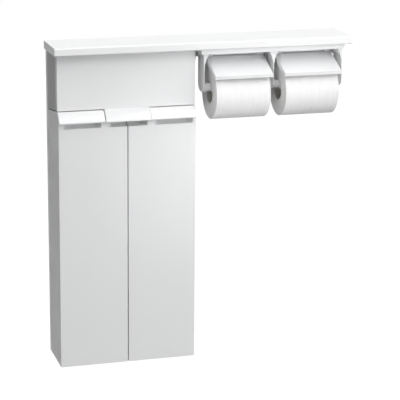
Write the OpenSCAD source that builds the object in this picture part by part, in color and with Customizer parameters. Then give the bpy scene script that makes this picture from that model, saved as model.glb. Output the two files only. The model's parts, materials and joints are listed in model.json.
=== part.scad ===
// Toilet roll storage cabinet for a wall, let a little way into it.
// A shelf board runs along the top. On the left a slim cabinet hangs below it: a lift-up flap
// over two tall tilt-out bins. On the right two covered roll holders hang under the shelf.
// Frame: +Z up, -Y is the front, +X is to the right. The origin is the middle of the four
// screw holes in the cabinet's back.

/* [Shelf] */
// Depth of the shelf board, from the wall to its front edge
shelf_d = 110; // [106:1:130]
// Thickness of the shelf board
shelf_t = 16; // [12:0.5:22]
// Radius on the shelf's long edges
shelf_r = 2.5; // [1:0.5:4]
// How far the shelf passes the cabinet on the left
shelf_left_over = 10; // [4:1:20]
// How far the shelf passes the holder on the right
shelf_right_over = 13; // [4:1:20]

/* [Cabinet] */
// Width of the cabinet
cabinet_w = 284; // [264:2:320]
// Height of the cabinet, under the shelf
cabinet_h = 652; // [600:2:720]
// Height of the flap's compartment, from the shelf down to the parting line
upper_h = 116; // [104:1:140]
// How far the cabinet goes into the wall
recess_d = 36; // [24:1:60]
// How far the flap's face stands out from the wall
upper_proud = 79; // [74:1:90]
// How far the bins' fronts stand further out than the flap, at their top
low_step = 8; // [4:1:12]
// How much lower the parting line is at the back than at the front
seam_drop = 12; // [12:1:16]
// Gap along the parting lines
seam_gap = 2; // [1.5:0.1:3]

/* [Tray and panels] */
// Depth of the tray that closes the cabinet's back
tray_d = 16; // [12:1:22]
// Thickness of the tray's sheet
tray_t = 2; // [1.5:0.1:3]
// Width of the tray's front flange, round the flap's compartment
tray_flange = 14; // [10:1:20]
// Thickness of the two side panels
panel_t = 15; // [12:0.5:18]
// Thickness of the compartment's floor
floor_t = 8; // [6:0.5:12]
// Distance between the tray's screw holes, across
screw_w = 220; // [160:5:230]
// Distance between the tray's screw holes, up
screw_h = 560; // [400:5:580]
// Diameter of the tray's screw holes
screw_d = 5.5; // [4.5:0.1:7]

/* [Flap] */
// Thickness of the flap
flap_t = 17; // [16:0.5:20]
// Thickness of the flap's moulded skin and rim
flap_skin = 3; // [2:0.5:4]
// Gap between the flap's top edge and the shelf
flap_top_gap = 3; // [2.5:0.5:5]
// Diameter of the flap's pivot pins
flap_pin_d = 4; // [3:0.5:5]

/* [Bins] */
// Gap between the two bins
bin_gap = 2; // [1.5:0.1:3]
// Wall thickness of the bins
bin_t = 2; // [1.5:0.1:3]
// Height of the bin floor over the cabinet's bottom edge
bin_floor_h = 28; // [27:1:36]
// Height of the bins' pivot over the cabinet's bottom edge
pivot_h = 16; // [15:0.5:17]
// Distance of the bins' pivot behind the foot of their fronts
pivot_in = 17; // [16:0.5:19]
// Diameter of the bins' hinge rods
rod_d = 5; // [4:0.5:6]
// Running clearance of every pin, on the radius
run_gap = 0.05; // [0.03:0.01:0.08]
// Thickness of the steel base under the bins
base_t = 3; // [2.5:0.1:3.5]

/* [Lip handles] */
// Height of a lip handle
lip_h = 22.5; // [20:0.5:26]
// How far a lip handle's tip stands out from the flap's face
lip_out = 18; // [15:0.5:22]
// Thickness of a lip handle
lip_t = 2.5; // [2:0.5:3]
// Depth of the finger pocket behind the bins' fronts
pocket_d = 15; // [12:0.5:18]
// Height of the finger pocket below the lips
pocket_h = 12.5; // [10:0.5:18]
// Gap between the flap's lip handle and the right one
lip_gap = 0.8; // [0.5:0.1:2]

/* [Roll holder] */
// Gap from the cabinet to the first arm
holder_gap = 15; // [12:1:30]
// Depth of the holder's housing under the shelf
housing_d = 100; // [94:1:104]
// Height of the housing at its front
housing_front_h = 10; // [8:0.5:12]
// Height of the housing at the wall
housing_back_h = 30; // [24:0.5:34]
// Depth below the shelf that the plate behind the rolls reaches down to
back_plate_h = 58; // [50:1:66]
// Thickness of the housing's walls
housing_t = 3; // [2:0.5:4]
// Thickness of the three arms
arm_t = 3; // [2.5:0.5:5]
// Thickness of the arms' front edge
arm_edge_t = 1.2; // [1:0.1:2]
// Depth of the arms, front to back
arm_d = 44; // [38:1:46]
// Distance from the wall to the arms' back edge
arm_back = 48; // [44:1:52]
// Diameter of the stubs that carry the rolls
stub_d = 17; // [12:0.2:18]
// How far a stub reaches out of its arm
stub_l = 22; // [20:0.5:26]
// Distance between the holder's two wall screws
holder_screw_w = 250; // [150:5:270]

/* [Roll] */
// Width of a roll
roll_w = 114; // [105:1:116]
// Outer diameter of a roll
roll_d = 108; // [90:1:118]
// Inside diameter of the cardboard core
core_d = 40.5; // [38:0.5:45]
// Wall thickness of the cardboard core
core_t = 1.2; // [0.8:0.1:2]
// Gap between a roll and the arms
roll_side_gap = 14.75; // [11:0.25:18]
// Distance from the wall to the roll's axis
roll_y = 70; // [64:1:74]
// Distance from the shelf down to the roll's axis
roll_down = 94; // [92:0.5:100]

/* [Covers] */
// How far a cover is wider than its roll, on each side
cover_over = 3.5; // [3:0.5:6]
// Thickness of a cover
cover_t = 2.2; // [1.8:0.1:3]
// Length of a cover, from its rod to the crease at its front
cover_l = 76; // [70:1:80]
// Slope of a cover at rest
cover_tilt = 24; // [20:1:26]
// Diameter of the covers' rods
cover_rod_d = 4; // [3:0.5:5]

/* [Hidden] */
$fn = 48;
eps = 0.01;
far = 400;                       // reach of a cut that goes right through

// main planes
wall_y = -recess_d;
face_y = wall_y - upper_proud;
tray_y = -tray_d;
shelf_under = cabinet_h / 2;
bottom_z = -cabinet_h / 2;
part_z = shelf_under - upper_h;
half_gap = seam_gap / 2;
cab_x = cabinet_w / 2;
third_x = cabinet_w / 6;
side_flange = min(tray_flange, panel_t);     // the floor passes between the flanges
shelf_front = wall_y - shelf_d;

// the compartment's top board and the blocks under it
top_t = 5;
top_set_back = 5;                // from the sides' front edges
block = 18;
block_tip = 4;                   // what is left of a block's edges past its bevel
block_back = 12;                 // from the tray forward

// flap
flap_back = face_y + flap_t;
panel_front = flap_back + 1;
flap_top = shelf_under - flap_top_gap;
flap_bottom = part_z + half_gap;
flap_round = 3;                  // radius of the flap's top front edge
flap_chamfer = 5;                // bevel of the flap's top back edge
flap_axis_in = 8;                // pivot axis behind the face and under the top edge
flap_axis_y = face_y + flap_axis_in;
flap_axis_z = flap_top - flap_axis_in;
hinge_plate_t = 3;
hinge_plate_l = 36;              // from the pivot axis back
hinge_eye_r = 4.5;
hinge_x = cab_x - panel_t - hinge_plate_t;   // inner face of a hinge plate
hinge_notch = 1.5;               // air beside a hinge plate where it enters the flap
hinge_front = 0.5;               // and at least this much in front of its eye
flap_lug_t = 3.5;
flap_lug_x = hinge_x - hinge_notch - 1;      // outer face of the flap's inner lug
flap_rim = 12;                   // height of the flap's back rim at its top
boss_w = 36;                     // width of a strike and its boss
boss_h = 12;
strike_t = 1.2;
magnet_d = 12;
magnet_h = 10;
magnet_gap = 0.3;
magnet_foot = 1;                 // height of the flap magnet's foot

// bins
bin_x1 = -bin_gap / 2;           // the left bin's inner side
low_top = face_y - low_step;
pivot_y = face_y + pivot_in;
pivot_z = bottom_z + pivot_h;
tilt_max = 20;                   // how far a bin tilts out, in degrees
ledge_z = part_z - half_gap - 3; // top of the front under the lip's flange
lip_flange_t = 3;
lip_bottom = part_z - lip_h;
notch_z = lip_bottom - 2;        // the bins' top in the middle third, under the flap's lip
notch_fall = 10;                 // from there it falls by this much to the back
pocket_bottom = lip_bottom - pocket_h;
pocket_back = low_top + pocket_d;
pocket_r = 10;
pocket_splay = 8;
pocket_margin = 7;               // front left standing at the cabinet's sides
pocket_rib = 15;                 // and between two pockets
outer_pocket = [-cab_x + pocket_margin, -third_x - (pocket_rib + 1) / 2];
inner_pocket = [-third_x + (pocket_rib - 1) / 2, pocket_splay + bin_gap];
strike_x = (outer_pocket[0] + outer_pocket[1]) / 2;
// the sides' back edges lie where their lower corners still clear the tray as a bin tilts
tray_clear = 0.6;
side_back = pivot_y + sqrt(pow(tray_y - tray_clear - pivot_y, 2) - pow(pivot_h, 2));
tub_back = -tray_t - 3;          // the tub reaches back into the tray
tub_inset = 2;                   // and is narrower there than the bin by this, on each side
tub_joint = 16;                  // depth of the strips that join the tub to the bin's sides
tub_down = 45;                   // the tub's back ends this far under the parting line
tub_top = part_z - tub_down;
tub_z = bottom_z + bin_floor_h;
tub_t = 3;
tub_lip = 20;                    // height of the tub's front upstand
bin_mid = (-cab_x + bin_x1) / 2;
ear_x = 38;                      // inner face of a base ear, from the bin's middle
ear_t = 4;
eye_r = 7;
lug_t = 5;
lug_gap = 0.5;
lug_x = ear_x + ear_t + lug_gap;
base_gap = 4;                    // the base stays this far inside the cabinet's sides
base_slot = bin_gap / 2 + bin_t + 2;         // half the width of the slot for the bins' inner sides
base_upstand = 20;
base_front = pivot_y - 9;
base_z = bottom_z + tray_t;
// a tilted bin's front comes in to stop_in before the pivot, level with the base
stop_s = (base_z + base_t / 2 - pivot_z + (pivot_in - bin_t) * sin(tilt_max)) / cos(tilt_max);
stop_in = (pivot_in - bin_t) * cos(tilt_max) + stop_s * sin(tilt_max);
stop_clear = 0.8;
pad_t = stop_in - (pivot_y - base_front) - stop_clear;
pad_w = 30;

// roll holder
housing_end = 2;                 // the housing passes the right arm by this
arm_pitch = roll_w + 2 * roll_side_gap + arm_t;
arm_x = [for (i = [0:2]) cab_x + holder_gap + i * arm_pitch];
roll_x = [for (i = [0:1]) arm_x[i] + arm_t + roll_side_gap];
roll_axis_y = wall_y - roll_y;
housing_x0 = arm_x[0] - 7;
housing_x1 = arm_x[2] + arm_t + housing_end;
knee_gap = 0.5;                  // the housing gets deeper this far behind the arms
arm_screw_l = 10;                // length of an arm's screws in the arm
arm_screw_r = 1.5;
arm_screw_side = 3.2;            // from an outer arm's plain face, in its wide root
arm_screw_in = 7;                // the first one behind the arm's front edge
arm_screw_gap = 10;              // and the next one behind it
shelf_screw_l = 11;              // length of the shelf's screws in the shelf
shelf_screw_side = 40;           // from the outer arms inwards
shelf_screw_in = [16, 80];       // behind the housing's front edge
roll_r = roll_d / 2;
core_r = core_d / 2;
core_inset = 0.5;                // a core ends this far inside its roll
stub_r = stub_d / 2;
stub_rest = 0.3;                 // air between a stub and the core that hangs on it
stub_nose = 2.5;                 // the nose under a stub's tip
stub_nose_t = 2.2;
stub_root = 1.2;                 // the wider foot of a stub
stub_root_l = 3;
stub_wall = 4;
cover_rod_down = 18;             // covers' rods under the shelf
cover_rod_back = 58;             // and from the wall
cover_rod_y = wall_y - cover_rod_back;
cover_rod_z = shelf_under - cover_rod_down;
cover_barrel_r = cover_rod_d / 2 + cover_t + 0.3;     // so the sheet clears the rod
roll_axis_z = shelf_under - roll_down;
stub_axis_z = roll_axis_z + core_r - stub_r - stub_rest;
arm_top = shelf_under - housing_front_h;
arm_y1 = wall_y - arm_back;
arm_y0 = arm_y1 - arm_d;
arm_round = 18;
arm_bottom = stub_axis_z - stub_r;
arm_taper = 12;                  // the arms thin over this depth towards their front edge
arm_edge_in = [0, (arm_t - arm_edge_t) / 2, arm_t - arm_edge_t];     // from an arm's left face
arm_flare = 8;                   // how much an arm's root widens towards a roll
arm_flare_h = 26;
arm_flare_mid = [0.4, 0.45];     // share of the widening that is left at this share of its height
cover_x = [for (i = [0:1]) roll_x[i] - cover_over];
cover_w = roll_w + 2 * cover_over;
barrel_w = 14;
cover_v = [-cover_barrel_r, cover_t - cover_barrel_r];     // the sheet's two faces, from the rod
cheek_t = 2;                     // a cover's end walls
cheek_h = 12;                    // their greatest height
cheek_u = 28;                    // and how far that is from the rod
stop_back = 12;                  // a cover's stop reaches this far behind its rod
stop_gap = 0.4;                  // and ends this far under the housing's rib
stop_h = 2.5;
edge_h = 6.5;                    // height of a cover's turned-down front edge
edge_t = 1.6;
edge_slant = 0.8;                // how far it leans out on its way down
rod_inset = 1.5;                 // the rods end this far inside the outer arms
rod_part = 1;                    // gap between the two rods in the middle arm
arm_mid = arm_x[1] + arm_t / 2;
shelf_w = shelf_left_over + cabinet_w / 2 + housing_x1 + shelf_right_over;
shelf_x0 = -cab_x - shelf_left_over;
holder_screw_x = (arm_x[0] + arm_x[2] + arm_t) / 2;
holder_screw_z = shelf_under - housing_back_h / 2 - 1;
back_plate_in = 12;              // the plate ends this far inside the outer arms
back_plate_r = 10;

white = [0.93, 0.935, 0.94];
pale = [0.86, 0.87, 0.875];
steel = [0.68, 0.69, 0.71];

// the parting line between the compartment and the bins, sloping down to the back
function seam_z(y) = part_z - seam_drop * (y - face_y) / (tray_y - face_y);
// the bins' fronts lean out a little towards the top
function low_y(z) = face_y - low_step * (z - bottom_z) / (part_z - bottom_z);

// extrudes a YZ outline from x0 to x1
module along_x(x0, x1) translate([x0, 0, 0]) rotate([90, 0, 90]) linear_extrude(x1 - x0) children();
module bar(x0, x1, y0, y1, z0, z1) translate([x0, y0, z0]) cube([x1 - x0, y1 - y0, z1 - z0]);
// a rod or bore along X
module rod_x(x0, x1, y, z, r) translate([x0, y, z]) rotate([0, 90, 0]) cylinder(h = x1 - x0, r = r);
// the children, and their mirror image on the cabinet's other side
module pair() {
    children();
    mirror([1, 0, 0]) children();
}

// ---- shelf ----
module shelf_outline() {
    r = shelf_r;
    translate([shelf_front, shelf_under]) {
        translate([r, 0]) square([shelf_d - r, shelf_t]);
        translate([0, r]) square([shelf_d, shelf_t - 2 * r]);
        for (z = [r, shelf_t - r]) translate([r, z]) circle(r);
    }
}
module shelf_board() color(white) difference() {
    along_x(shelf_x0, shelf_x0 + shelf_w) shelf_outline();
    shelf_screw_shapes(head = false);
}
module shelf_screw_shapes(head = true)
    for (x = [arm_x[0] + shelf_screw_side, arm_x[2] - shelf_screw_side], y = shelf_screw_in) {
        z0 = shelf_under - housing_t;
        translate([x, wall_y - housing_d + y, z0]) cylinder(h = housing_t + shelf_screw_l, r = 2);
        if (head) translate([x, wall_y - housing_d + y, z0 - 2.5]) cylinder(h = 2.5, r = 4);
    }
module shelf_screws() color(steel) shelf_screw_shapes();

// ---- cabinet body ----
module back_tray() color(white) difference() {
    bar(-cab_x, cab_x, tray_y, 0, bottom_z, shelf_under);
    bar(-cab_x + tray_t, cab_x - tray_t, tray_y + tray_t, -tray_t, bottom_z + tray_t,
        shelf_under - tray_t);
    // its mouth: inside the flange above, and as wide as the tray behind the bins
    bar(-cab_x + side_flange, cab_x - side_flange, tray_y - 1, -tray_t, bottom_z + tray_t,
        shelf_under - tray_flange);
    bar(-cab_x + tray_t, cab_x - tray_t, tray_y - 1, -tray_t, bottom_z + tray_t,
        seam_z(tray_y) + half_gap);
    for (x = [-screw_w / 2, screw_w / 2], z = [-screw_h / 2, screw_h / 2])
        translate([x, 1, z]) rotate([90, 0, 0]) cylinder(h = tray_t + 2, r = screw_d / 2);
}
module side_outline() polygon([
    [panel_front, shelf_under], [tray_y, shelf_under], [tray_y, seam_z(tray_y) + half_gap],
    [panel_front, seam_z(panel_front) + half_gap]
]);
module upper_left_side() color(white) along_x(-cab_x, -cab_x + panel_t) side_outline();
module upper_right_side() color(white) along_x(cab_x - panel_t, cab_x) side_outline();
module upper_floor() color(pale) along_x(-cab_x + panel_t, cab_x - panel_t) polygon([
    [panel_front, seam_z(panel_front) + half_gap], [-tray_t, seam_z(-tray_t) + half_gap],
    [-tray_t, seam_z(-tray_t) + half_gap + floor_t],
    [panel_front, seam_z(panel_front) + half_gap + floor_t]
]);
module upper_top() color(white) bar(-cab_x + panel_t, cab_x - panel_t,
    panel_front + top_set_back, tray_y, shelf_under - top_t, shelf_under);
module corner_blocks() color(pale) pair()
    translate([cab_x - panel_t, tray_y - block_back, shelf_under - top_t]) rotate([90, 0, 0])
        linear_extrude(block) polygon([
            [0, 0], [-block, 0], [-block, -block_tip], [-block_tip, -block], [0, -block]
        ]);

// ---- flap ----
module flap_outline(inset = 0) {
    i = inset;
    r = flap_round;
    hull() {
        translate([face_y + r + i, flap_top - r - i]) circle(r);
        polygon([
            [face_y + i, flap_bottom + i], [face_y + i, flap_top - r - i],
            [flap_back - flap_chamfer, flap_top - i], [flap_back, flap_top - flap_chamfer - i],
            [flap_back, flap_bottom + i]
        ]);
    }
}
module flap_hollow() {
    flap_outline(flap_skin);
    polygon([
        [face_y + flap_skin, flap_bottom + flap_skin], [face_y + flap_skin, flap_top - flap_rim],
        [panel_front, flap_top - flap_rim], [panel_front, flap_bottom + flap_skin]
    ]);
}
module flap_panel() color(white) difference() {
    union() {
        difference() {
            along_x(-cab_x, cab_x) flap_outline();
            along_x(-cab_x + flap_skin, cab_x - flap_skin) flap_hollow();
        }
        // lugs for the pins' inner ends, and the boss behind the strike
        pair() bar(flap_lug_x - flap_lug_t, flap_lug_x, face_y + flap_skin - eps,
            flap_axis_y + flap_pin_d, flap_axis_z - 6, flap_top - flap_skin + eps);
        bar(-boss_w / 2, boss_w / 2, face_y + flap_skin - eps, flap_back - strike_t,
            flap_bottom + flap_skin - eps, flap_bottom + flap_skin + boss_h);
    }
    pair() {
        bar(hinge_x - hinge_notch, hinge_x + hinge_plate_t + hinge_notch,
            min(face_y + flap_skin, flap_axis_y - hinge_eye_r - hinge_front), panel_front,
            flap_axis_z - 7, flap_top + 1);
        rod_x(flap_lug_x - flap_lug_t - 1, cab_x + 1, flap_axis_y, flap_axis_z, flap_pin_d / 2);
    }
}
module flap_pins() color(steel) pair()
    rod_x(flap_lug_x - flap_lug_t, cab_x - 0.5, flap_axis_y, flap_axis_z, flap_pin_d / 2);
module flap_hinge_plates() color(steel) pair() difference() {
    union() {
        rod_x(hinge_x, hinge_x + hinge_plate_t, flap_axis_y, flap_axis_z, hinge_eye_r);
        bar(hinge_x, hinge_x + hinge_plate_t, flap_axis_y, flap_axis_y + hinge_plate_l,
            flap_axis_z - hinge_eye_r, flap_axis_z + hinge_eye_r);
    }
    rod_x(hinge_x - 1, hinge_x + hinge_plate_t + 1, flap_axis_y, flap_axis_z, flap_pin_d / 2 + run_gap);
}
module flap_strike() color(steel) bar(-boss_w / 2, boss_w / 2, flap_back - strike_t, flap_back,
    flap_bottom + flap_skin, flap_bottom + flap_skin + boss_h);
module flap_magnet() {
    y0 = flap_back + magnet_gap;
    y1 = y0 + magnet_d;
    z = seam_z(y0) + half_gap + floor_t + magnet_foot;
    color(pale) along_x(-boss_w / 2, boss_w / 2) polygon([
        [y0, z], [y0, z + magnet_h], [y1, z + magnet_h], [y1, seam_z(y1) + half_gap + floor_t],
        [panel_front, seam_z(panel_front) + half_gap + floor_t], [panel_front, z]
    ]);
}

// ---- lip handles ----
lip_steps = 6;
lip_bulge = 1.4;
// a point of the lip's outer curve, t from 0 at its root to 1 at its tip
function lip_point(t, top, in) = let (
        h = top - lip_bottom - lip_t,
        n = [-h, lip_out] / norm([h, lip_out]),
        b = lip_bulge * sin(180 * t) - in)
    [face_y - lip_out * t + n[0] * b, top - h * t - n[1] * -b];
module lip_outline(top) polygon(concat(
    [for (i = [0:lip_steps]) lip_point(i / lip_steps, top, 0)],
    [[face_y - lip_out, lip_bottom], [face_y - lip_out + lip_t, lip_bottom]],
    [for (i = [lip_steps - 1:-1:1]) lip_point(i / lip_steps, top, lip_t)],
    [[face_y + 1, top - lip_flange_t], [flap_back, top - lip_flange_t], [flap_back, top]]
));
module cheek_outline(top) polygon(concat(
    [for (i = [0:lip_steps]) lip_point(i / lip_steps, top, 0)],
    [[face_y - lip_out, lip_bottom], [low_y(lip_bottom), lip_bottom], [face_y + 5, ledge_z],
        [face_y + 5, top]]
));
module grip(x0, x1, top) color(white) union() {
    along_x(x0, x1) lip_outline(top);
    for (x = [x0, x1 - lip_t]) along_x(x, x + lip_t) cheek_outline(top);
}
module flap_grip() grip(-third_x + half_gap, third_x - half_gap, flap_bottom);
module left_bin_grip() grip(-cab_x, -third_x - half_gap, part_z - half_gap);
module right_bin_grip() grip(third_x - half_gap + lip_gap, cab_x, part_z - half_gap);

// ---- bins: the left one, the right one is its mirror image ----
module front_outline() polygon([
    [low_y(bottom_z), bottom_z], [low_y(lip_bottom), lip_bottom], [face_y + 5, ledge_z],
    [flap_back, ledge_z], [flap_back, seam_z(flap_back) - half_gap],
    [side_back, seam_z(side_back) - half_gap], [side_back, bottom_z]
]);
module front_hollow() polygon([
    [low_y(bottom_z - 1) + bin_t, bottom_z - 1], [low_y(lip_bottom) + bin_t, lip_bottom],
    [face_y + 5 + bin_t, ledge_z - bin_t], [flap_back, ledge_z - bin_t], [flap_back, part_z + far],
    [0, part_z + far], [0, bottom_z - 1]
]);
// a pocket's section, reaching forward to y0
module pocket_outline(wall, y0, top) polygon(concat(
    [[pocket_back + wall, top], [y0, top], [y0, pocket_bottom - wall]],
    [for (a = [0:10:90]) [pocket_back - pocket_r + (pocket_r + wall) * sin(a),
        pocket_bottom + pocket_r - (pocket_r + wall) * cos(a)]]
));
// a finger pocket between x0 and x1, its ends splayed towards the front
module pocket(x0, x1, wall, y0, top) hull() {
    along_x(x0 + pocket_splay - wall, x1 - pocket_splay + wall) pocket_outline(wall, y0, top);
    bar(x0 - wall, x1 + wall, y0, low_top + 1, pocket_bottom - wall, top);
}
module bin_front() color(white) difference() {
    union() {
        difference() {
            along_x(-cab_x, bin_x1) front_outline();
            along_x(-cab_x + bin_t, bin_x1 - bin_t) front_hollow();
        }
        intersection() {
            union() {
                pocket(outer_pocket[0], outer_pocket[1], bin_t, low_top, ledge_z - eps);
                pocket(inner_pocket[0], inner_pocket[1], bin_t, low_top, notch_z);
                // closes the front where it steps down
                bar(-third_x - bin_t, -third_x, low_top - 1, flap_back, notch_z - 1, ledge_z - eps);
            }
            along_x(-cab_x, bin_x1) front_outline();
        }
        bar(strike_x - boss_w / 2, strike_x + boss_w / 2, pocket_back + bin_t - eps,
            flap_back - strike_t, ledge_z - boss_h, ledge_z - eps);
    }
    pocket(outer_pocket[0], outer_pocket[1], 0, low_top - lip_out, ledge_z - bin_t);
    pocket(inner_pocket[0], inner_pocket[1], 0, low_top - lip_out, part_z);
    // the inner third stays low, so that it passes under the flap's lip
    along_x(-third_x, bin_gap) polygon([
        [low_top - far, notch_z], [flap_back, notch_z], [0, notch_z - notch_fall],
        [0, part_z + far], [low_top - far, part_z + far]
    ]);
}
// the tub's sides and back, seen from above
module tub_plan() {
    xs = [-cab_x + bin_t, -cab_x + bin_t + tub_inset];
    xe = [bin_x1 - bin_t - tub_inset, bin_x1 - bin_t];
    y0 = side_back - tub_joint;
    polygon([
        [xs[0], y0], [xs[0], side_back], [xs[1], side_back], [xs[1], tub_back],
        [xe[0], tub_back], [xe[0], side_back], [xe[1], side_back], [xe[1], y0],
        [xe[0] - bin_t, y0], [xe[0] - bin_t, tub_back - bin_t],
        [xs[1] + bin_t, tub_back - bin_t], [xs[1] + bin_t, y0]
    ]);
}
module bin_tub() color(pale) difference() {
    union() {
        translate([0, 0, tub_z]) linear_extrude(tub_top - tub_z) tub_plan();
        along_x(-cab_x + bin_t, bin_x1 - bin_t) polygon([
            [low_y(tub_z) + bin_t, tub_z], [side_back, tub_z], [side_back, tub_z + tub_t],
            [low_y(tub_z) + 2 * bin_t, tub_z + tub_t],
            [low_y(tub_z + tub_lip) + 2 * bin_t, tub_z + tub_lip],
            [low_y(tub_z + tub_lip) + bin_t, tub_z + tub_lip]
        ]);
        bar(-cab_x + bin_t + tub_inset, bin_x1 - bin_t - tub_inset, side_back - 1, tub_back,
            tub_z, tub_z + tub_t);
        for (x = [bin_mid - lug_x - lug_t, bin_mid + lug_x]) {
            rod_x(x, x + lug_t, pivot_y, pivot_z, eye_r);
            bar(x, x + lug_t, pivot_y - eye_r, pivot_y + eye_r, pivot_z, tub_z + eps);
        }
    }
    rod_x(bin_mid - lug_x - lug_t - 1, bin_mid + lug_x + lug_t + 1, pivot_y, pivot_z, rod_d / 2 + run_gap);
}
module bin_strike() color(steel) bar(strike_x - boss_w / 2, strike_x + boss_w / 2,
    flap_back - strike_t, flap_back, ledge_z - boss_h, ledge_z - bin_t);
module bin_magnet() {
    y0 = panel_front;
    y1 = y0 + magnet_d;
    color(pale) along_x(strike_x - boss_w / 2, strike_x + boss_w / 2) polygon([
        [flap_back + magnet_gap, seam_z(y1) + half_gap - magnet_h], [y1, seam_z(y1) + half_gap - magnet_h],
        [y1, seam_z(y1) + half_gap], [y0, seam_z(y0) + half_gap],
        [flap_back + magnet_gap, seam_z(y1) - half_gap]
    ]);
}
module bin_rod() color(steel)
    rod_x(bin_mid - lug_x - lug_t - 1, bin_mid + lug_x + lug_t + 1, pivot_y, pivot_z, rod_d / 2);
module left_bin_front() bin_front();
module left_bin_tub() bin_tub();
module left_strike() bin_strike();
module left_magnet() bin_magnet();
module left_hinge_rod() bin_rod();
module right_bin_front() mirror([1, 0, 0]) bin_front();
module right_bin_tub() mirror([1, 0, 0]) bin_tub();
module right_strike() mirror([1, 0, 0]) bin_strike();
module right_magnet() mirror([1, 0, 0]) bin_magnet();
module right_hinge_rod() mirror([1, 0, 0]) bin_rod();

// ---- base under the bins ----
module base_plate() color(steel) difference() {
    union() {
        bar(-cab_x + base_gap, cab_x - base_gap, base_front, -tray_t, base_z, base_z + base_t);
        bar(-cab_x + base_gap + tray_t, cab_x - base_gap - tray_t, -tray_t - base_t, -tray_t, base_z,
            base_z + base_upstand);
        pair() for (x = [-bin_mid - ear_x - ear_t, -bin_mid + ear_x]) {
            rod_x(x, x + ear_t, pivot_y, pivot_z, eye_r);
            bar(x, x + ear_t, pivot_y - eye_r, pivot_y + eye_r, base_z, pivot_z);
        }
    }
    // a slot for the bins' inner sides, and the holes that hold the rods
    bar(-base_slot, base_slot, base_front - 1, tray_y, base_z - 1, base_z + base_t + 1);
    rod_x(-cab_x, cab_x, pivot_y, pivot_z, rod_d / 2);
}
module tilt_stop_pads() color([0.3, 0.3, 0.32]) pair() for (x = [-bin_mid - ear_x, -bin_mid + ear_x])
    bar(x - pad_w / 2, x + pad_w / 2, base_front - pad_t, base_front, base_z, base_z + base_t);

// ---- roll holder ----
module housing_outline() polygon([
    [wall_y, shelf_under], [wall_y - housing_d, shelf_under], [wall_y - housing_d, arm_top],
    [arm_y1 + knee_gap, arm_top], [arm_y1 + knee_gap + 4, shelf_under - housing_back_h],
    [wall_y, shelf_under - housing_back_h]
]);
// the back wall's lower part, behind the rolls
module back_plate() translate([0, wall_y, 0]) rotate([90, 0, 0]) linear_extrude(housing_t) hull() {
    x0 = arm_x[0] + arm_t + back_plate_in;
    x1 = arm_x[2] - back_plate_in;
    for (x = [x0 + back_plate_r, x1 - back_plate_r])
        translate([x, shelf_under - back_plate_h + back_plate_r]) circle(back_plate_r);
    translate([x0, shelf_under - housing_back_h]) square([x1 - x0, 1]);
}
module holder_housing() color(white) difference() {
    union() {
        difference() {
            along_x(housing_x0, housing_x1) housing_outline();
            bar(housing_x0 + housing_t, housing_x1 - housing_t, wall_y - housing_d + housing_t,
                wall_y - housing_t, shelf_under - housing_back_h - 1, shelf_under - housing_t);
        }
        back_plate();
        // a rib behind the arms, and the pads that they are screwed to
        bar(housing_x0 + eps, housing_x1 - eps, arm_y1 + knee_gap, arm_y1 + knee_gap + housing_t,
            arm_top, shelf_under - housing_t + eps);
        for (x = arm_x) bar(max(x - arm_flare, housing_x0 + eps),
            min(x + arm_t + arm_flare, housing_x1 - eps), arm_y0, arm_y1 + knee_gap + eps, arm_top,
            shelf_under - housing_t + eps);
    }
    for (x = [holder_screw_x - holder_screw_w / 2, holder_screw_x + holder_screw_w / 2])
        translate([x, wall_y + 1, holder_screw_z]) rotate([90, 0, 0])
            cylinder(h = housing_t + 2, r = screw_d / 2);
    shelf_screw_shapes(head = false);
    arm_screw_shapes();
}
module arm_screw_shapes()
    for (x = [arm_x[0] + arm_screw_side, arm_mid, arm_x[2] + arm_t - arm_screw_side], y = [0, arm_screw_gap])
        translate([x, arm_y0 + arm_screw_in + y, arm_top - arm_screw_l])
            cylinder(h = arm_screw_l + housing_front_h - housing_t, r = arm_screw_r);
module arm_screws() color(steel) arm_screw_shapes();

module arm_outline() {
    r = arm_round;
    hull() {
        translate([arm_y0 + r, arm_bottom + r]) circle(r);
        translate([arm_y1 - r, arm_bottom + r]) circle(r);
        translate([arm_y0, arm_top - 1]) square([arm_d, 1]);
    }
}
// an arm seen from above, thinner towards its front edge
module arm_plan(i) polygon([
    [arm_x[i], arm_y1], [arm_x[i], arm_y0 + arm_taper], [arm_x[i] + arm_edge_in[i], arm_y0],
    [arm_x[i] + arm_edge_in[i] + arm_edge_t, arm_y0], [arm_x[i] + arm_t, arm_y0 + arm_taper],
    [arm_x[i] + arm_t, arm_y1]
]);
// an arm whose root widens on the sides that face a roll
module arm(i, sides) color(white) difference() {
    union() {
        intersection() {
            along_x(arm_x[i], arm_x[i] + arm_t) arm_outline();
            translate([0, 0, arm_bottom - 1]) linear_extrude(arm_top - arm_bottom + 1) arm_plan(i);
        }
        for (s = sides) {
            edge = arm_edge_in[i] + arm_edge_t / 2;
            w = arm_flare + (s > 0 ? arm_t - edge : edge) - arm_edge_t / 2;
            translate([arm_x[i] + edge, arm_y0, arm_top]) rotate([-90, 0, 0])
                linear_extrude(arm_d) polygon([
                    [0, 0], [s * (arm_edge_t / 2 + w), 0],
                    [s * (arm_edge_t / 2 + w * arm_flare_mid[0]), arm_flare_h * arm_flare_mid[1]],
                    [s * arm_edge_t / 2, arm_flare_h], [0, arm_flare_h]
                ]);
        }
    }
    rod_x(arm_x[i] - far, arm_x[i] + far, cover_rod_y, cover_rod_z, cover_rod_d / 2);
    arm_screw_shapes();
}
module arm_left() arm(0, [1]);
module arm_middle() arm(1, [-1, 1]);
module arm_right() arm(2, [-1]);

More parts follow.
